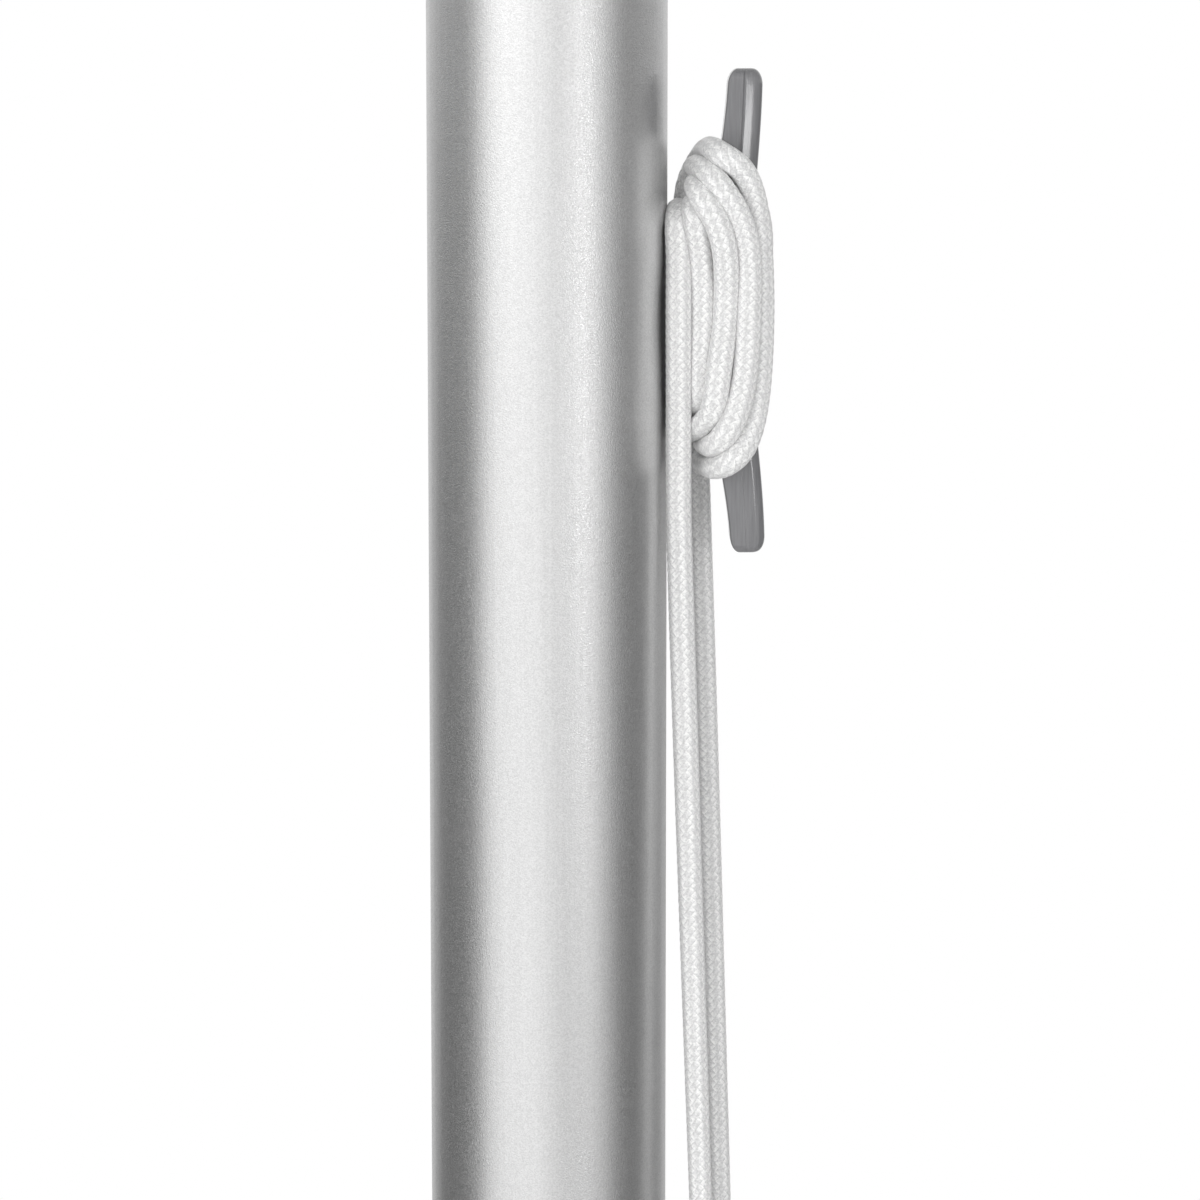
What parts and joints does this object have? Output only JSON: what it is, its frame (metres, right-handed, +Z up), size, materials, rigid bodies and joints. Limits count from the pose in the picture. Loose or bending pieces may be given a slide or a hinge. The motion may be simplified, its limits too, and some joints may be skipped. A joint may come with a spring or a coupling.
{
  "type": "flagpole",
  "caption": "Aluminium flagpole with a bolted base, a horn cleat with its braided halyard made fast, a single-sheave truck and a ball finial",
  "frame": {"origin": "middle of the base plate's underside, on the ground", "axes": "+Z up along the pole; +X towards the cleat and the sheave; +Y towards the halyard's front fall"},
  "size_m": [0.24, 0.24, 6.1437],
  "materials": {
    "galvanised": "hot-dip galvanised steel",
    "pole_aluminium": "satin anodised extrusion",
    "stainless": "turned stainless steel",
    "collar_rubber": "moulded rubber",
    "cleat_grey": "glossy moulded grey",
    "rope_white": "braided white polyester",
    "seizing_white": "whipped twine",
    "cast_aluminium": "cast, satin",
    "sheave_nylon": "machined nylon",
    "ball_aluminium": "spun and brushed"
  },
  "bodies": {
    "root": {"base_plate": "galvanised", "base_socket": "galvanised", "base_gusset_1": "galvanised", "base_gusset_2": "galvanised", "base_gusset_3": "galvanised", "base_gusset_4": "galvanised", "clamp_screw_1": "stainless", "clamp_screw_2": "stainless", "clamp_screw_3": "stainless", "socket_collar": "collar_rubber", "pole_lower": "pole_aluminium", "pole_upper": "pole_aluminium", "splice_sleeve": "cast_aluminium", "splice_screw_1": "stainless", "splice_screw_2": "stainless", "splice_screw_3": "stainless", "splice_screw_4": "stainless", "cleat_body": "cleat_grey", "cleat_screw_lower": "stainless", "cleat_screw_upper": "stainless", "halyard_front_fall": "rope_white", "halyard_winding": "rope_white", "halyard_back_fall_lower": "rope_white", "halyard_back_fall_upper": "rope_white", "halyard_sheave_turn": "rope_white", "snap_hook_upper": "stainless", "snap_hook_lower": "stainless", "snap_gate_upper": "stainless", "snap_gate_lower": "stainless", "seizing_upper": "seizing_white", "seizing_lower": "seizing_white", "truck_cap": "cast_aluminium", "truck_set_screw_1": "stainless", "truck_set_screw_2": "stainless", "truck_set_screw_3": "stainless", "truck_fork": "cast_aluminium", "sheave": "sheave_nylon", "sheave_pin": "stainless", "finial_neck": "cast_aluminium", "finial_ball": "ball_aluminium"}
  },
  "joints": []
}
